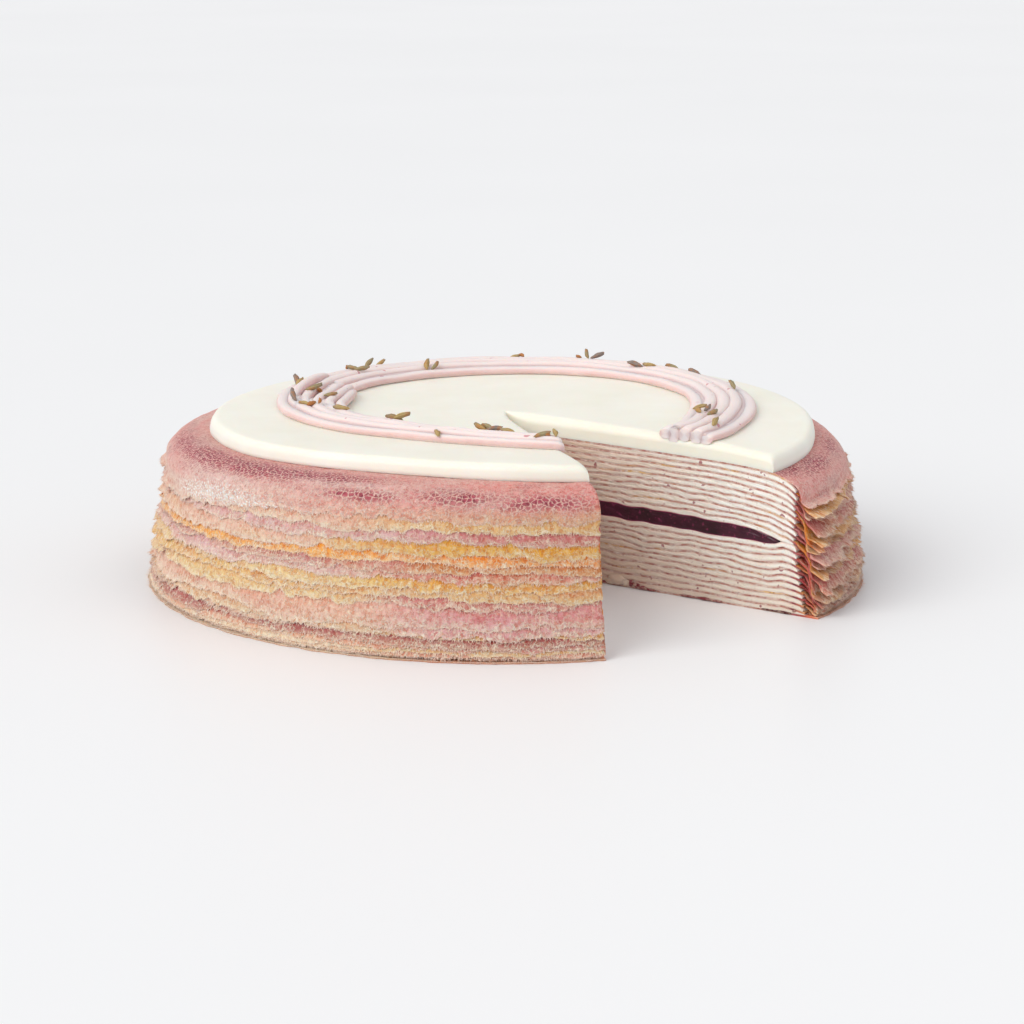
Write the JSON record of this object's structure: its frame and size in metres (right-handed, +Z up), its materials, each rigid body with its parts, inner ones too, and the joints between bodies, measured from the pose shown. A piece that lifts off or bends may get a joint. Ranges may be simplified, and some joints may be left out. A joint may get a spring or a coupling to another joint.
{
  "type": "crepe cake",
  "caption": "Round layered crepe cake with a wedge cut out, a dark jelly layer, white icing on top and a piped wreath with dried lavender buds.",
  "frame": {"origin": "middle of the round foot, on the surface that the cake stands on", "axes": "+Z up; the missing wedge opens towards -Y and +X"},
  "size_m": [0.229, 0.229, 0.0583],
  "materials": {
    "crepe_rose": "pale dusty-rose crepe, lacy and lightly browned, soft satin",
    "crepe_gold": "golden-tan crepe, soft satin",
    "cream": "whipped cream, off-white and porous",
    "jelly": "dark plum berry jelly, glossy where cut",
    "icing": "smooth white icing with a soft sheen",
    "piping": "pale pink piped cream with grey-green and brown dried buds"
  },
  "bodies": {
    "root": {"crepe_01": "crepe_rose", "crepe_02": "crepe_gold", "crepe_03": "crepe_rose", "crepe_04": "crepe_rose", "crepe_05": "crepe_gold", "crepe_06": "crepe_rose", "crepe_07": "crepe_rose", "crepe_08": "crepe_gold", "crepe_09": "crepe_rose", "crepe_10": "crepe_rose", "crepe_11": "crepe_gold", "crepe_12": "crepe_rose", "crepe_13": "crepe_rose", "crepe_14": "crepe_gold", "crepe_15": "crepe_rose", "crepe_16": "crepe_rose", "crepe_17": "crepe_gold", "crepe_18": "crepe_rose", "crepe_19": "crepe_rose", "crepe_20": "crepe_gold", "crepe_21": "crepe_rose", "cream_01": "cream", "cream_02": "cream", "cream_03": "cream", "cream_04": "cream", "cream_05": "cream", "cream_06": "cream", "cream_07": "cream", "cream_08": "cream", "cream_09": "cream", "cream_10": "cream", "cream_11": "cream", "cream_12": "cream", "cream_13": "cream", "cream_14": "cream", "cream_15": "cream", "cream_16": "cream", "cream_17": "cream", "cream_18": "cream", "cream_19": "cream", "cream_20": "cream", "cream_21": "cream", "jelly": "jelly", "icing": "icing", "piping": "piping"}
  },
  "joints": []
}
